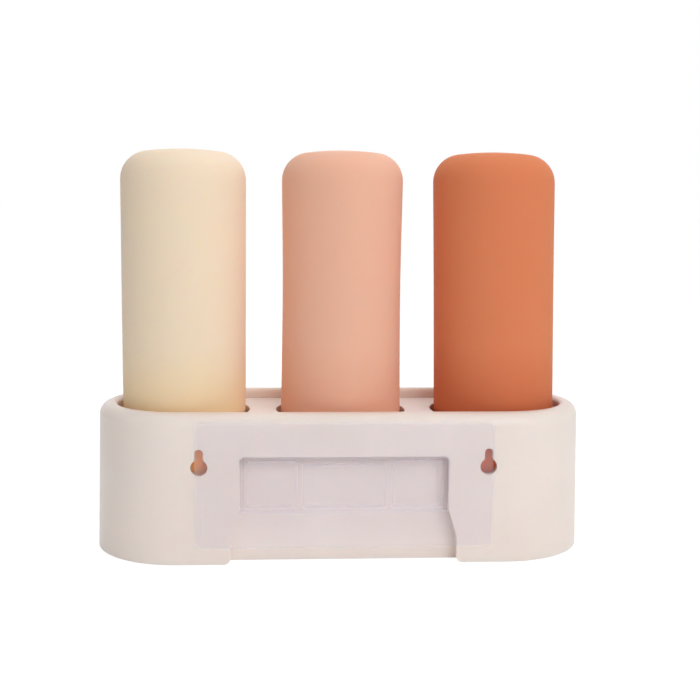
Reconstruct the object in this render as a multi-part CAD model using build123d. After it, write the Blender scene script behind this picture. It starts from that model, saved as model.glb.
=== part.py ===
from build123d import *
import math
import os

# Three silicone squeeze bottles, stored head down in a holder that hangs on a wall.
# Millimetres. Z is up, -Y faces the wall and X runs along the row of bottles.
# The origin lies on the table, under the middle of the holder.

# The row
bottle_names = ("yellow", "pink", "terracotta")
pitch = 65.0
overrun = 5.0
root_two = math.sqrt(2)
full_turn = 360

# Silicone bottle
bottle_radius = 25.0
bottle_length = 136.6
bottle_wall = 2.3
dome_rise = 2.7
dome_round = 11.5
shoulder_round = 6.0
lip_thickness = 3.0
lip_margin = 1.5
soft_gap = 0.05

# Holder shell: a drafted, round-ended moulding, open underneath
shell_height = 60.0
shell_draft = 1.5
shell_wall = 2.4
rim_width = 7.9
rim_outer_round = 4.8
rim_inner_round = 2.0
deck_drop = 4.2
deck_ledge = 0.4
well_gap = 2.0
well_radius = bottle_radius + well_gap
recess_radius = well_radius + deck_ledge
shell_radius = recess_radius + rim_width
deck_top = shell_height - deck_drop
deck_bottom = deck_top - shell_wall
wall_face_y = -shell_radius

# Clear bracket that stays on the wall
bracket_width = 82.0
bracket_height = 22.2
bracket_fit = 0.3
bracket_lip_gap = 0.15
bracket_floor = 1.4
bracket_top_gap = 0.3
bracket_corner = 1.6
cell_corner = 0.8
cell_side_wall = 2.2
cell_rib = 2.9
cell_bottom_wall = 2.1
cell_top_wall = 1.7
middle_cell_width = 32.4
middle_cell_top_wall = 3.1

# Pocket in the wall face, which slides down over the bracket
pocket_drop = 16.9
pocket_wall = 2.2
pocket_clear = 2.1
pocket_lip = 1.8
pocket_undercut = 2.0
flare_step = 3.6
flare_lead = 1.3
flare_length = 11.5
mouth_round = 2.5
pocket_height = shell_height - pocket_drop
pocket_half = bracket_width / 2 + bracket_fit
pocket_inner_y = -bottle_radius - pocket_clear
pocket_floor_y = pocket_inner_y - pocket_wall
bracket_top = pocket_height - bracket_top_gap
bracket_low = bracket_top - bracket_height
flare_top = bracket_low + flare_lead
mouth_half = pocket_half + flare_step
housing_half = mouth_half + pocket_wall

# Keyholes in the wall face, for two screws
keyhole_margin = 9.9
keyhole_drop = 4.1
keyhole_radius = 3.3
keyhole_slot = 3.3
keyhole_rise = 5.6
keyhole_x = housing_half + keyhole_margin
keyhole_height = pocket_height - keyhole_drop

# Adhesive sheet and the liner over its glue
sheet_margin = 17.6
sheet_height = 50.2
sheet_skirt = 13.8
sheet_thickness = 0.6
sheet_corner = 2.7
sheet_gap = 0.3
liner_thickness = 0.15
liner_shift = 0.5
liner_turn = -0.5
sheet_width = bracket_width + 2 * sheet_margin
sheet_middle = bracket_low - sheet_skirt + sheet_height / 2
sheet_back_y = wall_face_y - sheet_gap

# Screw cap; the bottle hangs head down, so the cap's flip lid is lowest
foot_gap = 2.0
cap_radius = 17.0
cap_height = 16.0
cap_wall = 3.0
cap_face = 4.0
cap_round = 0.6
flute_count = 30
flute_radius = 0.8
flute_depth = 0.4
flute_stop = 1.5
nozzle_length = 2.0
nozzle_bore_radius = 3.6
nozzle_wall = 1.4
cap_bore_radius = cap_radius - cap_wall
nozzle_radius = nozzle_bore_radius + nozzle_wall

# Neck ring, which carries the thread and clamps the silicone lip
thread_gap = 0.3
neck_step = 0.7
neck_wall = 2.2
collar_gap = 0.3
collar_thickness = 1.6
collar_reach = 2.6
flange_reach = 3.0
flange_thickness = 1.6
thread_radius = cap_bore_radius - thread_gap
groove_radius = thread_radius - neck_step
neck_bore_radius = groove_radius - neck_wall
shoulder_radius = groove_radius + flange_reach + lip_margin

# Valve that stops drips, and the ring that holds it
valve_gap = 0.3
valve_thickness = 1.2
teat_gap = 0.2
teat_inset = 1.0
teat_skin = 0.8
teat_slit = 0.3
seal_gap = 0.1
retainer_gap = 0.4
retainer_width = 5.9
retainer_thickness = 1.6
teat_radius = nozzle_bore_radius - teat_gap

# Seat plate inside the holder: the bottles' shoulders rest in its three funnels
plate_thickness = 2.4
plate_gap = 1.1
plate_fit = 0.3
seat_gap = 0.3
seat_clear = 1.6
seat_inset = 1.5
seat_wall = 2.0
seat_opening = cap_radius + seat_clear
seat_mouth = bottle_radius - seat_inset
seat_rim = seat_mouth + seat_wall

# Flip lid
lid_height = 6.3
lid_wall = 1.9
lid_round = 0.9
parting = 0.2
lid_collar_wall = 1.0
lid_collar_gap = 0.3
tab_width = 8.0
tab_clear = 0.4
tab_thickness = 1.5

# Snap-in hinge between lid and cap
knuckle_radius = 1.4
knuckle_width = 6.0
ear_width = 2.0
ear_gap = 0.2
hinge_gap = 0.3
notch_roof = 1.0
hinge_pin_radius = 0.7
hinge_pin_length = 1.6
hinge_bore_gap = 0.05

# Four screws that hold the plate to bosses under the deck
boss_radius = 3.5
boss_margin = 5.6
pilot_radius = 1.5
shank_gap = 0.05
screw_length = 12.0
screw_hole_gap = 0.25
screw_head_radius = 2.9
screw_head_height = 1.8
boss_reach = -pocket_inner_y - boss_margin

# Levels, from the table up
cap_low = foot_gap + lid_height + parting
valve_low = cap_low + cap_face
valve_top = valve_low + valve_thickness
cap_top = cap_low + cap_height
collar_low = cap_top + collar_gap
lip_low = collar_low + collar_thickness
lip_top = lip_low + lip_thickness
bottle_top = lip_low + bottle_length
plate_low = cap_top + plate_gap
plate_top = plate_low + plate_thickness
notch_top = valve_low - notch_roof

# Places across the row and along it
hinge_y = knuckle_radius - cap_radius
hinge_flat_y = hinge_y + knuckle_radius + hinge_gap
bottle_places = [(number - 1) * pitch for number in range(len(bottle_names))]


def slab(low, high):
    """A box between two opposite corners."""
    size = [top - bottom for bottom, top in zip(low, high)]
    centre = [(top + bottom) / 2 for bottom, top in zip(low, high)]
    return Pos(*centre) * Box(*size)


def turned(outline):
    """A solid of revolution about the Z axis, from an outline in radius and height."""
    return revolve(Plane.XZ * outline, Axis.Z)


def disc(radius, low, high):
    return Pos(0, 0, low) * extrude(Circle(radius), high - low)


def crossbar(radius, start_x, end_x, y, z):
    """A round bar along X."""
    return Pos(start_x, y, z) * (Plane.YZ * extrude(Circle(radius), end_x - start_x))


def shell_section(height, inset):
    """The holder's plan at a height. Draft widens it downwards, but the wall face stays upright."""
    spread = shell_draft / 2 * (shell_height / 2 - height) / shell_height
    plan = SlotCenterToCenter(2 * (pitch + spread), 2 * (shell_radius + spread - inset))
    return Pos(0, spread, height) * plan


def pill(radius, low, high):
    return Pos(0, 0, low) * extrude(SlotCenterToCenter(2 * pitch, 2 * radius), high - low)


def boss_places():
    """Where the plate is screwed: in the webs between the wells."""
    places = []
    for left, right in zip(bottle_places, bottle_places[1:]):
        for side in (-1, 1):
            places.append(((left + right) / 2, side * boss_reach))
    return places


def shell_body():
    """The walls, the rounded rim and the sunken deck, all of one wall thickness."""
    body = loft([shell_section(0, 0), shell_section(shell_height, 0)], ruled=True)
    body = fillet(body.faces().sort_by(Axis.Z)[-1].edges(), rim_outer_round)
    body -= pill(recess_radius, deck_top, shell_height + overrun)
    body = fillet(body.faces().sort_by(Axis.Z)[-1].inner_wires()[0].edges(), rim_inner_round)
    cavity_sections = [
        shell_section(-overrun, shell_wall),
        shell_section(shell_height - shell_wall, shell_wall),
    ]
    cavity = loft(cavity_sections, ruled=True)
    cavity -= pill(recess_radius + shell_wall, deck_bottom, shell_height)
    return body - cavity


def mouth_outline():
    """The pocket's mouth in the wall face, flared and rounded off at its lower corners."""
    side = [
        (mouth_half, -overrun),
        (mouth_half, flare_top - flare_length),
        (pocket_half, flare_top),
        (pocket_half, pocket_height),
    ]
    outline = Polygon(*side, *[(-x, z) for x, z in reversed(side)], align=None)
    for x in (-mouth_half, mouth_half):
        outline += Pos(x, 0) * Rectangle(2 * mouth_round, 2 * mouth_round)
    for x in (-mouth_half - mouth_round, mouth_half + mouth_round):
        outline -= Pos(x, mouth_round) * Circle(mouth_round)
    return outline


def bracket_pocket():
    """The space for the bracket: an upright slot with a lead-in below and an undercut behind its lips."""
    depth = pocket_floor_y - wall_face_y + overrun
    mouth = Pos(0, pocket_floor_y, 0) * (Plane.XZ * extrude(mouth_outline(), depth))
    behind_half = pocket_half + pocket_undercut
    behind = slab(
        (-behind_half, wall_face_y + pocket_lip, -overrun),
        (behind_half, pocket_floor_y, pocket_height),
    )
    return mouth + behind


def pocket_block(gap):
    """The housing round the pocket inside the holder, grown by a gap."""
    half = housing_half + gap
    return slab(
        (-half, wall_face_y, 0), (half, pocket_inner_y + gap, pocket_height + pocket_wall + gap)
    )


def keyholes():
    """Two screw-head holes, each with a slot above for the screw's shank."""
    depth = shell_wall + 2 * overrun
    outline = Circle(keyhole_radius)
    outline += Pos(0, keyhole_rise / 2) * SlotCenterToCenter(keyhole_rise, keyhole_slot, rotation=90)
    tool = Plane.XZ * extrude(outline, depth / 2, both=True)
    return [Pos(side * keyhole_x, wall_face_y, keyhole_height) * tool for side in (-1, 1)]


def holder_shell():
    shell = shell_body()
    for x in bottle_places:
        shell -= Pos(x, 0, 0) * disc(well_radius, deck_bottom - overrun, shell_height + overrun)
    shell += pocket_block(0)
    for x, y in boss_places():
        shell += Pos(x, y, 0) * disc(boss_radius, plate_top, deck_bottom + shell_wall / 2)
    shell -= bracket_pocket()
    for keyhole in keyholes():
        shell -= keyhole
    for x, y in boss_places():
        shell -= Pos(x, y, 0) * disc(pilot_radius, plate_top - overrun, plate_top + screw_length)
    return shell


def seat_funnel():
    """A ring whose cone follows the bottle's shoulder, a small gap away."""
    low = lip_low + seat_opening - shoulder_radius - seat_gap * root_two
    top = low + seat_mouth - seat_opening
    return Polygon(
        (seat_opening, plate_low),
        (seat_opening, low),
        (seat_mouth, top),
        (seat_rim, top),
        (seat_rim, plate_low),
        align=None,
    )


def seat_plate():
    section = shell_section(plate_top, shell_wall + plate_fit)
    plate = extrude(section, -plate_thickness)
    plate -= pocket_block(plate_fit)
    funnel = turned(seat_funnel())
    for x in bottle_places:
        plate -= Pos(x, 0, 0) * disc(seat_mouth, plate_low - overrun, plate_top + overrun)
        plate += Pos(x, 0, 0) * funnel
    for x, y in boss_places():
        hole = disc(pilot_radius + screw_hole_gap, plate_low - overrun, plate_top + overrun)
        plate -= Pos(x, y, 0) * hole
    return plate


def seat_screws():
    """Pan-head screws, driven up through the plate into the bosses."""
    head = disc(screw_head_radius, plate_low - screw_head_height, plate_low)
    head = chamfer(head.faces().sort_by(Axis.Z)[0].edges(), screw_head_height / 2)
    shank = disc(pilot_radius - shank_gap, plate_low, plate_low + screw_length)
    screw = head + shank
    return Compound(children=[Pos(x, y, 0) * screw.solid() for x, y in boss_places()])


def bottle_outline(inset, low, low_radius):
    """Half of the bottle's section: shoulder below, straight side, and a soft dome on top."""
    radius = bottle_radius - inset
    side_low = low + radius - low_radius
    side_top = bottle_top - inset - dome_rise
    top = bottle_top - inset
    edges = Polyline((0, top), (0, low), (low_radius, low), (radius, side_low), (radius, side_top))
    edges += TangentArc((0, top), (radius, side_top), tangent=(1, 0))
    outline = make_face(edges.edges())
    corners = outline.vertices().filter_by_position(Axis.X, radius - soft_gap, radius + soft_gap)
    corners = corners.sort_by(Axis.Y)
    outline = fillet(corners[-1], dome_round - inset)
    corners = outline.vertices().sort_by_distance((radius, side_low))
    return fillet(corners[0], shoulder_round - inset)


def bottle():
    inner_low_radius = shoulder_radius + lip_thickness - bottle_wall * root_two
    body = turned(bottle_outline(0, lip_low, shoulder_radius))
    body -= turned(bottle_outline(bottle_wall, lip_top, inner_low_radius))
    return body - disc(groove_radius + soft_gap, lip_low - overrun, lip_top + overrun)


def neck_ring():
    low = valve_top + seal_gap
    top = lip_top + flange_thickness
    collar_radius = groove_radius + collar_reach
    flange_radius = groove_radius + flange_reach
    return turned(
        Polygon(
            (neck_bore_radius, low),
            (thread_radius, low),
            (thread_radius, collar_low),
            (collar_radius, collar_low),
            (collar_radius, lip_low),
            (groove_radius, lip_low),
            (groove_radius, lip_top),
            (flange_radius, lip_top),
            (flange_radius, top),
            (neck_bore_radius, top),
            align=None,
        )
    )


def no_drip_valve():
    """A silicone disc with a hollow teat, slit crosswise, which opens only under squeeze."""
    radius = cap_bore_radius - valve_gap
    tip = cap_low + teat_inset
    hollow = teat_radius - teat_skin
    valve = turned(
        Polygon(
            (0, tip),
            (teat_radius, tip),
            (teat_radius, valve_low),
            (radius, valve_low),
            (radius, valve_top),
            (hollow, valve_top),
            (hollow, tip + teat_skin),
            (0, tip + teat_skin),
            align=None,
        )
    )
    slit = Pos(0, 0, tip) * Box(2 * hollow, teat_slit, 2 * (teat_skin + soft_gap))
    return valve - slit - Rot(0, 0, 90) * slit


def valve_retainer():
    radius = neck_bore_radius - retainer_gap
    ring = disc(radius, valve_top, valve_top + retainer_thickness)
    return ring - disc(radius - retainer_width, valve_top - overrun, valve_top + overrun)


def screw_cap():
    """A fluted cap with the nozzle in its face and a notch at the back for the hinge."""
    cap = disc(cap_radius, cap_low, cap_top)
    cap -= disc(cap_bore_radius, valve_low, cap_top + overrun)
    cap = fillet(cap.faces().sort_by(Axis.Z)[-1].edges(), cap_round)
    flute = Pos(cap_radius + flute_radius - flute_depth, 0, 0)
    flute *= disc(flute_radius, valve_low, cap_top - flute_stop)
    cap -= [Rot(0, 0, turn * full_turn / flute_count) * flute for turn in range(flute_count)]
    back = (-cap_radius, -cap_radius - overrun, cap_low - overrun)
    cap -= slab(back, (cap_radius, hinge_flat_y, notch_top))
    cap += disc(nozzle_radius, cap_low - nozzle_length, cap_low + cap_face / 2)
    cap -= disc(nozzle_bore_radius, cap_low - overrun, valve_low + overrun)
    for side in (-1, 1):
        cap += hinge_ear(side)
    return cap


def hinge_ear(side):
    inner = side * (knuckle_width / 2 + ear_gap)
    outer = inner + side * ear_width
    low_x, high_x = min(inner, outer), max(inner, outer)
    ear = slab((low_x, hinge_y - knuckle_radius, cap_low), (high_x, hinge_flat_y, notch_top))
    ear += crossbar(knuckle_radius, low_x, high_x, hinge_y, cap_low)
    bore_end = side * (knuckle_width / 2 + hinge_pin_length + ear_gap)
    low_x, high_x = min(0, bore_end), max(0, bore_end)
    return ear - crossbar(hinge_pin_radius + hinge_bore_gap, low_x, high_x, hinge_y, cap_low)


def flip_lid():
    top = cap_low - parting
    floor = foot_gap + lid_wall
    lid = disc(cap_radius, foot_gap, top)
    lid = fillet(lid.faces().sort_by(Axis.Z)[0].edges(), lid_round)
    hollow = disc(cap_radius - lid_wall, floor, top + overrun)
    inside = slab(
        (-cap_radius, hinge_flat_y + lid_wall, floor), (cap_radius, cap_radius, top + overrun)
    )
    lid -= hollow & inside
    back = (-cap_radius, -cap_radius - overrun, foot_gap - overrun)
    lid -= slab(back, (cap_radius, hinge_flat_y, top + overrun))
    collar_bore = nozzle_radius + lid_collar_gap
    collar = disc(collar_bore + lid_collar_wall, floor, top - lid_collar_gap)
    lid += collar - disc(collar_bore, floor, top + overrun)
    tab_low = (-tab_width / 2, cap_radius - lid_wall, top - tab_thickness)
    lid += slab(tab_low, (tab_width / 2, seat_opening - tab_clear, top))
    return lid + lid_knuckle(top)


def lid_knuckle(top):
    half = knuckle_width / 2
    knuckle = crossbar(knuckle_radius, -half, half, hinge_y, cap_low)
    web_low = (-half, hinge_y, cap_low - knuckle_radius)
    knuckle += slab(web_low, (half, hinge_flat_y, top))
    reach = half + hinge_pin_length
    return knuckle + crossbar(hinge_pin_radius, -reach, reach, hinge_y, cap_low)


def bracket_cells():
    """Three open cells, moulded from the wall side. The middle one has the deeper top wall."""
    low = bracket_low + cell_bottom_wall
    middle = middle_cell_width / 2
    outer = bracket_width / 2 - cell_side_wall
    spans = [
        (-outer, -middle - cell_rib, bracket_top - cell_top_wall),
        (-middle, middle, bracket_top - middle_cell_top_wall),
        (middle + cell_rib, outer, bracket_top - cell_top_wall),
    ]
    back = pocket_floor_y - bracket_lip_gap - bracket_floor
    cells = []
    for left, right, cell_top in spans:
        cell = slab((left, sheet_back_y - overrun, low), (right, back, cell_top))
        cells.append(fillet(cell.edges().filter_by(Axis.Y), cell_corner))
    return cells


def wall_bracket():
    """A clear tray glued to the sheet. Its flange runs behind the pocket's lips."""
    half = bracket_width / 2
    back = pocket_floor_y - bracket_lip_gap
    stem = slab((-half, sheet_back_y, bracket_low), (half, back, bracket_top))
    stem = fillet(stem.edges().filter_by(Axis.Y), bracket_corner)
    wing = half + pocket_undercut
    flange_front = wall_face_y + pocket_lip + bracket_lip_gap
    flange = slab((-wing, flange_front, bracket_low), (wing, back, bracket_top))
    flange = fillet(flange.edges().filter_by(Axis.Y), bracket_corner)
    bracket = stem + flange
    for cell in bracket_cells():
        bracket -= cell
    return bracket


def film(thickness, back):
    """A round-cornered sheet whose holder side is at the given Y."""
    outline = RectangleRounded(sheet_width, sheet_height, sheet_corner)
    return Pos(0, back, 0) * (Plane.XZ * extrude(outline, thickness))


def adhesive_sheet():
    return Pos(0, 0, sheet_middle) * film(sheet_thickness, sheet_back_y)


def release_liner():
    """A thin film over the glue, laid on slightly askew."""
    liner = film(liner_thickness, sheet_back_y - sheet_thickness)
    return Pos(liner_shift, 0, sheet_middle + liner_shift) * Rot(0, liner_turn, 0) * liner


def write(shape, node):
    export_step(shape, f"parts/{node}.step")


def main():
    os.makedirs("parts", exist_ok=True)
    write(holder_shell(), "holder_shell")
    write(seat_plate(), "seat_plate")
    write(seat_screws(), "seat_screws")
    write(wall_bracket(), "wall_bracket")
    write(adhesive_sheet(), "adhesive_sheet")
    write(release_liner(), "release_liner")
    pieces = {
        "bottle": bottle(),
        "neck_ring": neck_ring(),
        "no_drip_valve": no_drip_valve(),
        "valve_retainer": valve_retainer(),
        "screw_cap": screw_cap(),
        "flip_lid": flip_lid(),
    }
    for x, name in zip(bottle_places, bottle_names):
        for kind, piece in pieces.items():
            write(Pos(x, 0, 0) * piece, f"{kind}_{name}")


main()
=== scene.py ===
import math

import bmesh
import bpy
from mathutils import Matrix, Vector


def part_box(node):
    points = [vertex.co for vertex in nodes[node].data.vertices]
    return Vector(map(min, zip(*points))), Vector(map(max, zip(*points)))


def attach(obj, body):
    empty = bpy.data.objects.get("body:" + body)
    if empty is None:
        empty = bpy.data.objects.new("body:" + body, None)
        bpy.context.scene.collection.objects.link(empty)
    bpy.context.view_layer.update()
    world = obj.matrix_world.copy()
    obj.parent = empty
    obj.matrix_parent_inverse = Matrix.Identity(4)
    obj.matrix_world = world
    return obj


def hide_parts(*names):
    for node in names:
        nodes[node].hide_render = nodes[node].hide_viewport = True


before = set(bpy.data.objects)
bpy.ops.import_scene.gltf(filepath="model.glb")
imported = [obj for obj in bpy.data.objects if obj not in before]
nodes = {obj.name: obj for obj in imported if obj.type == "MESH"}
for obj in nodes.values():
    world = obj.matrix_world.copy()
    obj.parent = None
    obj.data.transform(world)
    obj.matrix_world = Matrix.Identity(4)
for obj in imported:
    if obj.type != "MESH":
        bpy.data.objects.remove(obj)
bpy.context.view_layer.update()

# Everything is in metres, in the part's own frame, and sizes are written in millimetres times this.
MM = 0.001

# The camera of the photograph, found from the holder's and the bottles' outlines
CAMERA_PLACE = (-26.6 * MM, -465.0 * MM, 141.6 * MM)
CAMERA_YAW = -0.0654
CAMERA_PITCH = -0.1297
CAMERA_ROLL = -0.0094
PHOTO_SIDE_PIXELS = 700
FOCAL_PIXELS = 1121.9
SENSOR_WIDTH = 36.0

# Soft light from the upper right, weaker ones from above and behind, and white all round
KEY_PLACE = (330 * MM, -800 * MM, 620 * MM)
KEY_SIZE = 700 * MM
KEY_POWER = 4.8
BACK_PLACE = (-100 * MM, 700 * MM, 250 * MM)
BACK_SIZE = 900 * MM
BACK_POWER = 0.6
TOP_PLACE = (60 * MM, 150 * MM, 800 * MM)
TOP_SIZE = 600 * MM
TOP_POWER = 1.9
AIM = (0.0, 0.0, 80 * MM)
WORLD_STRENGTH = 0.43

# Warm light in each keyhole, on the bottle behind it, for what shines through the holder's walls:
# the side it is on, its power and its colour
GLOW_REACH = 57 * MM
GLOW_PLACE_Y = -32.8 * MM
GLOW_AIM_Y = -24 * MM
GLOW_HEIGHT = 39 * MM
GLOW_SIZE = 3 * MM
GLOW_SPREAD = math.radians(120)
GLOWS = {
    "glow_left": (-1, 0.00018, (1.0, 0.36, 0.1)),
    "glow_right": (1, 0.00025, (1.0, 0.68, 0.08)),
}

# Plain light under each bottle, where the floor would keep a view from below dark
UNDER_PLACES = {"under_left": -62 * MM, "under_middle": 0.0, "under_right": 62 * MM}
UNDER_HEIGHT = 0.2 * MM
UNDER_SIZE = 50 * MM
UNDER_POWER = 0.0018

# A white floor a hair under the object. Part of it is lit and keeps the shadow, and its glow makes up
# for what that part lacks where no shadow falls.
FLOOR_SIDE = 40000 * MM
FLOOR_DROP = 0.3 * MM
FLOOR_ROUGHNESS = 0.9
SHADOW_SHARE = 0.3
FLOOR_GLOW = (1 - SHADOW_SHARE * WORLD_STRENGTH) / (1 - SHADOW_SHARE)
WHITE = (1, 1, 1, 1)

# How many clear layers, soft bounces and bounces in all a ray goes through
CLEAR_LAYERS = 48
SOFT_BOUNCES = 8
ALL_BOUNCES = 16

# The silicone bottle, head down: a lip with a hole, a sloping shoulder, a side and a soft dome
BOTTLE_WALL = 2.3 * MM
LIP_THICKNESS = 3.0 * MM
LIP_HOLE_RADIUS = 13.05 * MM
SHOULDER_RADIUS = 17.5 * MM
SHOULDER_ROUND = 6.0 * MM
DOME_RISE = 2.7 * MM
DOME_ROUND = 11.5 * MM
BOTTLE_STEPS = 144
ARC_STEPS = 14
SIDE_STEPS = 24
ROOT_TWO = math.sqrt(2)

# How each soft bottle stands in the photograph: swell and waist of its side, and lean to the right
BOTTLES = {
    "yellow": {"swell": 0.3 * MM, "waist": 0.0, "lean": 0.003},
    "pink": {"swell": 0.05 * MM, "waist": 0.65 * MM, "lean": 0.001},
    "terracotta": {"swell": 0.05 * MM, "waist": 0.15 * MM, "lean": -0.0215},
}
SOFT_FROM = 48 * MM
WAIST_HEIGHT = 108 * MM
WAIST_REACH = 42 * MM

# Rounded upper corners of the pocket's lips, in the plane of the wall face
POCKET_HALF = 41.3 * MM
POCKET_TOP = 43.1 * MM
POCKET_LIP = 1.8 * MM
POCKET_ROUND = 2.2 * MM

# Screws under the seat plate
SCREW_STEPS = 48
SCREW_RADIUS = 1.45 * MM
SCREW_HEAD_RADIUS = 2.9 * MM
SCREW_HEAD_HEIGHT = 1.8 * MM
SCREW_HEAD_ROUND_SHARE = 0.45
RECESS_LENGTH = 3.4 * MM
RECESS_WIDTH = 0.8 * MM
RECESS_DEPTH = 1.2 * MM

# Each material's index of refraction
PLASTIC_IOR = 1.5
SILICONE_IOR = 1.41
FILM_IOR = 1.46

# A bottle is painted in its deep tone up to one height, as painted shade where the holder's rim shades it,
# and in its pale one, with faint clouds, from the other
PAINTED_SHADE_FULL_TO = 55 * MM
PAINTED_SHADE_ENDS_AT = 85 * MM
CLOUD_SHARE = 0.08

# How far the normal turns at a moulded edge that shows, with its painted highlight, as a cosine, and the
# rays that look for edges
HIGHLIGHT_EDGE_TURN = (0.75, 0.98)
EDGE_SAMPLES = 4

# Slants between which a clear surface goes from its least cover to its most
SLANT_SPAN = (0.1, 0.95)


def srgb(red, green, blue):
    """A colour given as sRGB values up to 255, in linear light."""
    shares = (red / 255, green / 255, blue / 255)
    return tuple(((share + 0.055) / 1.055) ** 2.4 for share in shares) + (1.0,)


# Each bottle's pale and deep tone, the deep one also painted low down as shade, and how far red, green and
# blue light run in it
SILICONES = {
    "yellow": (srgb(248, 220, 196), srgb(249, 211, 167), (0.9, 0.47, 0.22)),
    "pink": (srgb(240, 182, 158), srgb(234, 170, 144), (0.9, 0.38, 0.2)),
    "terracotta": (srgb(217, 131, 92), srgb(199, 109, 73), (0.6, 0.25, 0.12)),
}


class Shader:
    """A material whose nodes are added one by one."""

    def __init__(self, name):
        self.material = bpy.data.materials.new(name)
        self.material.use_nodes = True
        self.tree = self.material.node_tree
        self.surface = self.tree.nodes["Principled BSDF"]
        coordinates = self.tree.nodes.new("ShaderNodeTexCoord")
        self.place = coordinates.outputs["Object"]

    def set(self, **values):
        """Sets inputs of the surface, such as roughness or specular_ior_level."""
        for name, value in values.items():
            label = name.replace("_", " ").title().replace("Ior", "IOR")
            self.surface.inputs[label].default_value = value

    def link(self, source, target):
        self.tree.links.new(source, target)

    def noise(self, scale, detail=3.0, stretch=None):
        """Noise in waves per metre, with more detail for finer waves in it."""
        node = self.tree.nodes.new("ShaderNodeTexNoise")
        node.inputs["Scale"].default_value = scale
        node.inputs["Detail"].default_value = detail
        place = self.place
        if stretch:
            mapping = self.tree.nodes.new("ShaderNodeMapping")
            mapping.inputs["Scale"].default_value = stretch
            self.link(place, mapping.inputs["Vector"])
            place = mapping.outputs["Vector"]
        self.link(place, node.inputs["Vector"])
        return node.outputs["Fac"]

    def spread(self, source, low, high, start=0.3, end=0.7):
        """Maps a value that runs from start to end onto the span from low to high."""
        node = self.tree.nodes.new("ShaderNodeMapRange")
        node.inputs["From Min"].default_value = start
        node.inputs["From Max"].default_value = end
        node.inputs["To Min"].default_value = low
        node.inputs["To Max"].default_value = high
        self.link(source, node.inputs["Value"])
        return node.outputs["Result"]

    def mix(self, share, first, second):
        """Mixes two colours, each a value or another node's output."""
        node = self.tree.nodes.new("ShaderNodeMix")
        node.data_type = "RGBA"
        self.link(share, node.inputs["Factor"])
        for colour, socket in ((first, node.inputs[6]), (second, node.inputs[7])):
            if isinstance(colour, tuple):
                socket.default_value = colour
            else:
                self.link(colour, socket)
        return node.outputs[2]

    def clouds(self, scale, first, second):
        """Soft clouds of two colours."""
        return self.mix(self.spread(self.noise(scale), 0, 1), first, second)

    def paint(self, colour):
        self.link(colour, self.surface.inputs["Base Color"])

    def gloss(self, scale, low, high):
        """Patches whose roughness runs from low to high."""
        self.link(self.spread(self.noise(scale), low, high), self.surface.inputs["Roughness"])

    def height(self):
        node = self.tree.nodes.new("ShaderNodeSeparateXYZ")
        self.link(self.place, node.inputs["Vector"])
        return node.outputs["Z"]

    def bump(self, source, strength, distance):
        """Relief of the surface that follows a value."""
        node = self.tree.nodes.new("ShaderNodeBump")
        node.inputs["Strength"].default_value = strength
        node.inputs["Distance"].default_value = distance
        self.link(source, node.inputs["Height"])
        self.link(node.outputs["Normal"], self.surface.inputs["Normal"])


def moulded(name, pale, deep, gloss, grain):
    """Moulded plastic: faint clouds in its colour, uneven gloss and a fine grain."""
    shader = Shader(name)
    shader.paint(shader.clouds(35, pale, deep))
    shader.gloss(90, *gloss)
    shader.bump(shader.noise(1800, detail=2), strength=0.25, distance=grain)
    shader.set(ior=PLASTIC_IOR)
    return shader


def cream_plastic():
    """The holder's plastic. It is slightly translucent, so light runs warm in its walls."""
    pale, deep = srgb(235, 223, 216), srgb(231, 219, 211)
    shader = moulded("cream_plastic", pale, deep, gloss=(0.34, 0.42), grain=0.02 * MM)
    shader.set(subsurface_weight=0.35, subsurface_scale=4 * MM, subsurface_radius=(1.0, 0.6, 0.4))
    shader.set(specular_ior_level=0.35)
    return shader.material


def cap_plastic():
    """The caps' and lids' plastic, a little glossier than the holder's."""
    pale, deep = srgb(236, 226, 218), srgb(232, 221, 212)
    return moulded("cap_plastic", pale, deep, gloss=(0.3, 0.38), grain=0.015 * MM).material


def neck_plastic():
    """The whiter, slightly translucent plastic of the rings with the thread."""
    pale, deep = srgb(232, 232, 228), srgb(226, 226, 221)
    shader = moulded("neck_plastic", pale, deep, gloss=(0.32, 0.42), grain=0.015 * MM)
    shader.set(subsurface_weight=0.3, subsurface_scale=2 * MM)
    return shader.material


def silicone(name, pale, deep, radii):
    """Translucent silicone: clouds in its colour, a deeper tone painted low down as the shade of the
    holder's rim, a satin skin with fine grain.
    """
    shader = Shader(name)
    # Painted shade: the deep tone below the holder's rim, fading into the pale one above it
    painted_shade = shader.spread(shader.height(), 1, 0, PAINTED_SHADE_FULL_TO, PAINTED_SHADE_ENDS_AT)
    clouded = tuple((1 - CLOUD_SHARE) * a + CLOUD_SHARE * b for a, b in zip(pale, deep))
    shader.paint(shader.mix(painted_shade, shader.clouds(28, pale, clouded), deep))
    shader.gloss(120, low=0.55, high=0.65)
    shader.bump(shader.noise(2600, detail=2), strength=0.2, distance=0.015 * MM)
    shader.set(subsurface_weight=0.45, subsurface_scale=8 * MM, subsurface_radius=radii)
    shader.set(ior=SILICONE_IOR, specular_ior_level=0.05)
    return shader.material


def clear_silicone():
    """The soft, milky silicone of the valves."""
    shader = Shader("clear_silicone")
    shader.paint(shader.clouds(150, srgb(230, 230, 228), srgb(222, 222, 220)))
    shader.bump(shader.noise(2400, detail=2), strength=0.2, distance=0.01 * MM)
    shader.set(roughness=0.4, subsurface_weight=0.6, subsurface_scale=2 * MM, ior=SILICONE_IOR)
    return shader.material


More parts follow.
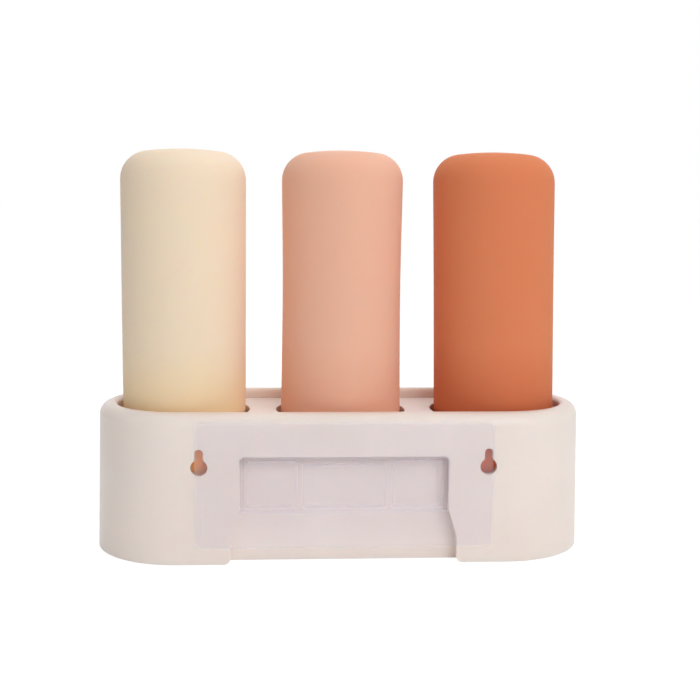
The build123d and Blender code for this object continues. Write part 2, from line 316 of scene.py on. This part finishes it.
def painted_edge_highlight(shader, width, cover):
    """A cover for a painted highlight on a moulding's rounded edges, where the normal turns within a width
    of an edge.
    """
    rounded = shader.tree.nodes.new("ShaderNodeBevel")
    rounded.samples = EDGE_SAMPLES
    rounded.inputs["Radius"].default_value = width
    flat = shader.tree.nodes.new("ShaderNodeNewGeometry")
    turn = shader.tree.nodes.new("ShaderNodeVectorMath")
    turn.operation = "DOT_PRODUCT"
    shader.link(rounded.outputs["Normal"], turn.inputs[0])
    shader.link(flat.outputs["True Normal"], turn.inputs[1])
    return shader.spread(turn.outputs["Value"], cover, 0, *HIGHLIGHT_EDGE_TURN)


def clear_cover(shader, facing, edge, highlight_lines=None):
    """Sets how much a clear surface covers: little face on, more at a slant and on painted highlight
    lines. It casts no shadow.
    """
    weight = shader.tree.nodes.new("ShaderNodeLayerWeight")
    weight.inputs["Blend"].default_value = 0.5
    cover = shader.spread(weight.outputs["Facing"], facing, edge, *SLANT_SPAN)
    if highlight_lines:
        most = shader.tree.nodes.new("ShaderNodeMath")
        most.operation = "MAXIMUM"
        shader.link(cover, most.inputs[0])
        shader.link(highlight_lines, most.inputs[1])
        cover = most.outputs[0]
    rays = shader.tree.nodes.new("ShaderNodeLightPath")
    seen = shader.tree.nodes.new("ShaderNodeMath")
    seen.operation = "SUBTRACT"
    seen.use_clamp = True
    shader.link(cover, seen.inputs[0])
    shader.link(rays.outputs["Is Shadow Ray"], seen.inputs[1])
    shader.link(seen.outputs[0], shader.surface.inputs["Alpha"])


def clear_plastic():
    """Clear moulded plastic, slightly uneven, as on any thin clear moulding, with a near-white highlight
    painted on its rounded edges.
    """
    shader = Shader("clear_plastic")
    colour = shader.clouds(60, srgb(240, 234, 248), srgb(234, 228, 242))
    highlight_lines = painted_edge_highlight(shader, width=0.45 * MM, cover=0.6)
    # Painted highlight: the rounded edges are painted near-white and cover more
    shader.paint(shader.mix(highlight_lines, colour, srgb(255, 253, 255)))
    shader.gloss(200, low=0.1, high=0.18)
    shader.bump(shader.noise(90, detail=1), strength=0.15, distance=0.05 * MM)
    shader.set(ior=PLASTIC_IOR)
    clear_cover(shader, facing=0.02, edge=0.4, highlight_lines=highlight_lines)
    return shader.material


def film(name, pale, deep, cover, gloss):
    """A thin film with faint long ripples from the roll and a slightly uneven milkiness."""
    shader = Shader(name)
    shader.paint(shader.mix(shader.noise(45), pale, deep))
    shader.gloss(220, *gloss)
    ripples = shader.noise(60, detail=1, stretch=(0.3, 1, 1))
    shader.bump(ripples, strength=0.1, distance=0.05 * MM)
    shader.set(ior=FILM_IOR)
    clear_cover(shader, *cover)
    return shader.material


def screw_steel():
    """Bright steel with uneven gloss."""
    shader = Shader("screw_steel")
    shader.paint(shader.clouds(400, srgb(196, 196, 198), srgb(178, 178, 181)))
    shader.gloss(900, low=0.25, high=0.4)
    shader.bump(shader.noise(3000, detail=2), strength=0.2, distance=0.01 * MM)
    shader.set(metallic=1.0)
    return shader.material


def dress(node, material):
    """Gives a CAD node its material."""
    nodes[node].data.materials.clear()
    nodes[node].data.materials.append(material)


def arc(centre, radius, start, end):
    """Points on an arc of an outline in radius and height, from one angle to another, in degrees."""
    points = []
    for step in range(ARC_STEPS + 1):
        angle = math.radians(start + (end - start) * step / ARC_STEPS)
        points.append((centre[0] + radius * math.cos(angle), centre[1] + radius * math.sin(angle)))
    return points


def bottle_side(radius, top, inset, low, low_radius):
    """Half of one skin of the bottle, from the dome's middle to the foot of the shoulder."""
    dome_radius = (radius**2 + DOME_RISE**2) / (2 * DOME_RISE)
    round_radius = DOME_ROUND - inset
    round_x = radius - round_radius
    slope = math.degrees(math.asin(round_x / (dome_radius - round_radius)))
    drop = (dome_radius - round_radius) * math.cos(math.radians(slope))
    round_z = top - dome_radius + drop
    dome = arc((0, top - dome_radius), dome_radius, 90, 90 - slope)
    dome[0] = (0, top)
    shoulder_round = SHOULDER_ROUND - inset
    corner = low + radius - low_radius
    shoulder_z = corner + shoulder_round * math.tan(math.pi / 8)
    side = []
    for step in range(1, SIDE_STEPS):
        side.append((radius, round_z + (shoulder_z - round_z) * step / SIDE_STEPS))
    dome += arc((round_x, round_z), round_radius, 90 - slope, 0)[1:]
    shoulder = arc((radius - shoulder_round, shoulder_z), shoulder_round, 0, -45)
    return dome + side + shoulder + [(low_radius, low)]


def bottle_profile(radius, low, top):
    """The bottle's outline, down its outer skin, through the hole in its lip and up its inner skin."""
    outer = bottle_side(radius, top, 0, low, SHOULDER_RADIUS)
    lip_top = low + LIP_THICKNESS
    inner_radius = radius - BOTTLE_WALL
    inner_low = SHOULDER_RADIUS + LIP_THICKNESS - BOTTLE_WALL * ROOT_TWO
    inner = bottle_side(inner_radius, top - BOTTLE_WALL, BOTTLE_WALL, lip_top, inner_low)
    return outer + [(LIP_HOLE_RADIUS, low), (LIP_HOLE_RADIUS, lip_top)] + inner[::-1]


def revolve(name, profile, steps):
    """A mesh turned about the Z axis from points in radius and height."""
    mesh = bmesh.new()
    rings = []
    for radius, height in profile:
        if radius == 0:
            rings.append([mesh.verts.new((0, 0, height))])
            continue
        ring = []
        for step in range(steps):
            angle = 2 * math.pi * step / steps
            ring.append(mesh.verts.new((radius * math.cos(angle), radius * math.sin(angle), height)))
        rings.append(ring)
    for upper, lower in zip(rings, rings[1:]):
        for step in range(steps):
            following = (step + 1) % steps
            corners = [upper[step % len(upper)], lower[step % len(lower)]]
            corners += [lower[following % len(lower)], upper[following % len(upper)]]
            mesh.faces.new(dict.fromkeys(corners))
    bmesh.ops.recalc_face_normals(mesh, faces=mesh.faces)
    data = bpy.data.meshes.new(name)
    mesh.to_mesh(data)
    mesh.free()
    return data


def smooth_step(value):
    """Goes gently from 0 to 1 as the value does."""
    value = min(max(value, 0), 1)
    return value * value * (3 - 2 * value)


def add_piece(name, data, material, body):
    """A mesh as a smooth piece that rides on a body."""
    piece = bpy.data.objects.new(name, data)
    bpy.context.collection.objects.link(piece)
    data.materials.append(material)
    data.shade_smooth()
    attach(piece, body)
    return piece


def add_bottle(name, material):
    """A bottle as it stands in the photograph: a little swollen or waisted, and leaning."""
    node = f"bottle_{name}"
    low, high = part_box(node)
    middle_x = (low[0] + high[0]) / 2
    radius = (high[0] - low[0]) / 2
    data = revolve(node, bottle_profile(radius, low[2], high[2]), BOTTLE_STEPS)
    shape = BOTTLES[name]
    for vertex in data.vertices:
        x, y, z = vertex.co
        soft = smooth_step((z - SOFT_FROM) / (SOFT_FROM - low[2]))
        waist = math.exp(-(((z - WAIST_HEIGHT) / WAIST_REACH) ** 2))
        grow = 1 + soft * (shape["swell"] - shape["waist"] * waist) / radius
        lean = shape["lean"] * max(0, z - SOFT_FROM)
        vertex.co = (middle_x + x * grow + lean, y * grow, z)
    piece = add_piece(f"{node}_skin", data, material, f"{name}_bottle")
    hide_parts(node)


def seen_by_rays(tree):
    """1 for rays from the camera, from a gloss or through a clear piece, which see a white background."""
    rays = tree.nodes.new("ShaderNodeLightPath")
    last = rays.outputs["Is Camera Ray"]
    for other in ("Is Glossy Ray", "Is Transmission Ray"):
        either = tree.nodes.new("ShaderNodeMath")
        either.operation = "MAXIMUM"
        tree.links.new(last, either.inputs[0])
        tree.links.new(rays.outputs[other], either.inputs[1])
        last = either.outputs[0]
    return last


def add_floor():
    """A white floor that keeps the object's shadow, and isn't seen from below."""
    mesh = bmesh.new()
    bmesh.ops.create_grid(mesh, x_segments=1, y_segments=1, size=FLOOR_SIDE / 2)
    data = bpy.data.meshes.new("floor")
    mesh.to_mesh(data)
    mesh.free()
    floor = bpy.data.objects.new("floor", data)
    floor.location = (0, 0, -FLOOR_DROP)
    bpy.context.collection.objects.link(floor)
    material = bpy.data.materials.new("floor")
    material.use_nodes = True
    tree = material.node_tree
    surface = tree.nodes["Principled BSDF"]
    surface.inputs["Base Color"].default_value = WHITE
    surface.inputs["Roughness"].default_value = FLOOR_ROUGHNESS
    surface.inputs["Specular IOR Level"].default_value = 0
    white = tree.nodes.new("ShaderNodeEmission")
    white.inputs["Strength"].default_value = FLOOR_GLOW
    shown = tree.nodes.new("ShaderNodeMixShader")
    mostly = tree.nodes.new("ShaderNodeMath")
    mostly.operation = "MULTIPLY"
    mostly.inputs[1].default_value = 1 - SHADOW_SHARE
    tree.links.new(seen_by_rays(tree), mostly.inputs[0])
    tree.links.new(mostly.outputs[0], shown.inputs["Fac"])
    tree.links.new(surface.outputs[0], shown.inputs[1])
    tree.links.new(white.outputs[0], shown.inputs[2])
    side = tree.nodes.new("ShaderNodeNewGeometry")
    below = tree.nodes.new("ShaderNodeMixShader")
    tree.links.new(side.outputs["Backfacing"], below.inputs["Fac"])
    tree.links.new(shown.outputs[0], below.inputs[1])
    tree.links.new(tree.nodes.new("ShaderNodeBsdfTransparent").outputs[0], below.inputs[2])
    tree.links.new(below.outputs[0], tree.nodes["Material Output"].inputs["Surface"])
    data.materials.append(material)


def light_world():
    """White where it is seen, and a plain level of light on the object."""
    world = bpy.data.worlds.new("studio")
    world.use_nodes = True
    tree = world.node_tree
    seen_white = tree.nodes.new("ShaderNodeBackground")
    light = tree.nodes["Background"]
    for background, strength in ((seen_white, 1), (light, WORLD_STRENGTH)):
        background.inputs["Color"].default_value = WHITE
        background.inputs["Strength"].default_value = strength
    shown = tree.nodes.new("ShaderNodeMixShader")
    tree.links.new(seen_by_rays(tree), shown.inputs["Fac"])
    tree.links.new(light.outputs[0], shown.inputs[1])
    tree.links.new(seen_white.outputs[0], shown.inputs[2])
    tree.links.new(shown.outputs[0], tree.nodes["World Output"].inputs["Surface"])
    bpy.context.scene.world = world


def add_light(name, place, size, power, aim=AIM, glossy=True):
    """A square lamp that the camera doesn't see, and reflections see only if it is glossy."""
    lamp = bpy.data.lights.new(name, "AREA")
    lamp.size = size
    lamp.energy = power
    light = bpy.data.objects.new(name, lamp)
    light.location = place
    light.rotation_euler = (Vector(aim) - Vector(place)).to_track_quat("-Z", "Y").to_euler()
    light.visible_camera = False
    light.visible_glossy = glossy
    bpy.context.collection.objects.link(light)
    return lamp


def add_lights():
    """The studio's three lamps, one in each keyhole and one under each bottle."""
    add_light("key", KEY_PLACE, KEY_SIZE, KEY_POWER)
    add_light("back", BACK_PLACE, BACK_SIZE, BACK_POWER)
    add_light("top", TOP_PLACE, TOP_SIZE, TOP_POWER)
    for name, (side, power, colour) in GLOWS.items():
        x = side * GLOW_REACH
        place = (x, GLOW_PLACE_Y, GLOW_HEIGHT)
        lamp = add_light(name, place, GLOW_SIZE, power, (x, GLOW_AIM_Y, GLOW_HEIGHT), glossy=False)
        lamp.color = colour
        lamp.spread = GLOW_SPREAD
    for name, x in UNDER_PLACES.items():
        add_light(name, (x, 0, UNDER_HEIGHT), UNDER_SIZE, UNDER_POWER, (x, 0, AIM[2]), glossy=False)


def add_camera():
    """The photograph's camera."""
    lens = bpy.data.cameras.new("camera")
    lens.sensor_width = SENSOR_WIDTH
    lens.lens = FOCAL_PIXELS / PHOTO_SIDE_PIXELS * SENSOR_WIDTH
    camera = bpy.data.objects.new("camera", lens)
    bpy.context.collection.objects.link(camera)
    turn = Matrix.Rotation(CAMERA_YAW, 4, "Z") @ Matrix.Rotation(CAMERA_PITCH, 4, "X")
    turn = turn @ Matrix.Rotation(CAMERA_ROLL, 4, "Y") @ Matrix.Rotation(math.pi / 2, 4, "X")
    camera.matrix_world = Matrix.Translation(CAMERA_PLACE) @ turn
    bpy.context.scene.camera = camera


def add_pocket_corner(name, side, material):
    """The moulding's fillet in one upper corner of the pocket's lips, clear of the bracket's corner."""
    wall_face_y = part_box("holder_shell")[0][1]
    centre = (POCKET_HALF - POCKET_ROUND, POCKET_TOP - POCKET_ROUND)
    outline = [(POCKET_HALF, POCKET_TOP)] + arc(centre, POCKET_ROUND, 0, 90)
    mesh = bmesh.new()
    front = [mesh.verts.new((side * x, wall_face_y, z)) for x, z in outline]
    back = [mesh.verts.new((side * x, wall_face_y + POCKET_LIP, z)) for x, z in outline]
    mesh.faces.new(front)
    mesh.faces.new(back)
    for number, corner in enumerate(front):
        mesh.faces.new((front[number - 1], corner, back[number], back[number - 1]))
    bmesh.ops.recalc_face_normals(mesh, faces=mesh.faces)
    data = bpy.data.meshes.new(name)
    mesh.to_mesh(data)
    mesh.free()
    add_piece(name, data, material, "holder")
    data.shade_flat()


def add_screws(material):
    """Four pan-head screws with a cross recess, in place of the plain ones."""
    low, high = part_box("seat_screws")
    head_radius = SCREW_HEAD_RADIUS
    head_top = low[2] + SCREW_HEAD_HEIGHT
    head_round = SCREW_HEAD_HEIGHT * SCREW_HEAD_ROUND_SHARE
    profile = [(0, low[2])]
    profile += arc((head_radius - head_round, low[2] + head_round), head_round, -90, 0)
    profile += [(head_radius, head_top), (SCREW_RADIUS, head_top), (SCREW_RADIUS, high[2]), (0, high[2])]
    screw = bpy.data.objects.new("screw", revolve("screw", profile, SCREW_STEPS))
    bpy.context.collection.objects.link(screw)
    recess = bmesh.new()
    for turn in (0, math.pi / 2):
        arm = bmesh.ops.create_cube(recess, size=1)["verts"]
        bmesh.ops.scale(recess, vec=(RECESS_LENGTH, RECESS_WIDTH, 2 * RECESS_DEPTH), verts=arm)
        bmesh.ops.rotate(recess, cent=(0, 0, 0), matrix=Matrix.Rotation(turn, 3, "Z"), verts=arm)
        bmesh.ops.translate(recess, vec=(0, 0, low[2]), verts=arm)
    data = bpy.data.meshes.new("recess")
    recess.to_mesh(data)
    recess.free()
    tool = bpy.data.objects.new("recess", data)
    bpy.context.collection.objects.link(tool)
    cut = screw.modifiers.new("recess", "BOOLEAN")
    cut.operation = "DIFFERENCE"
    cut.use_self = True
    cut.object = tool
    depsgraph = bpy.context.evaluated_depsgraph_get()
    finished = bpy.data.meshes.new_from_object(screw.evaluated_get(depsgraph))
    bpy.data.objects.remove(screw)
    bpy.data.objects.remove(tool)
    joined = bmesh.new()
    for x in (low[0] + head_radius, high[0] - head_radius):
        for y in (low[1] + head_radius, high[1] - head_radius):
            placed = finished.copy()
            placed.transform(Matrix.Translation((x, y, 0)))
            joined.from_mesh(placed)
    data = bpy.data.meshes.new("screws")
    joined.to_mesh(data)
    joined.free()
    screws = add_piece("screws", data, material, "holder")
    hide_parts("seat_screws")


def add_object():
    """Every piece of the object, with its material."""
    cream = cream_plastic()
    dress("holder_shell", cream)
    dress("seat_plate", cream)
    add_pocket_corner("pocket_corner_left", -1, cream)
    add_pocket_corner("pocket_corner_right", 1, cream)
    dress("wall_bracket", clear_plastic())
    pale, deep = srgb(226, 226, 242), srgb(218, 218, 234)
    dress("adhesive_sheet", film("milky_film", pale, deep, cover=(0.07, 0.45), gloss=(0.3, 0.4)))
    pale, deep = srgb(232, 230, 242), srgb(224, 222, 234)
    dress("release_liner", film("clear_film", pale, deep, cover=(0.02, 0.4), gloss=(0.2, 0.3)))
    add_screws(screw_steel())
    caps = cap_plastic()
    necks = neck_plastic()
    valves = clear_silicone()
    for name, (pale, deep, radii) in SILICONES.items():
        add_bottle(name, silicone(f"silicone_{name}", pale, deep, radii))
        dress(f"neck_ring_{name}", necks)
        dress(f"valve_retainer_{name}", necks)
        dress(f"no_drip_valve_{name}", valves)
        dress(f"screw_cap_{name}", caps)
        dress(f"flip_lid_{name}", caps)


add_camera()
light_world()
add_lights()
add_floor()
add_object()
bpy.context.scene.view_settings.view_transform = "Standard"
bpy.context.scene.cycles.transparent_max_bounces = CLEAR_LAYERS
bpy.context.scene.cycles.diffuse_bounces = SOFT_BOUNCES
bpy.context.scene.cycles.max_bounces = ALL_BOUNCES
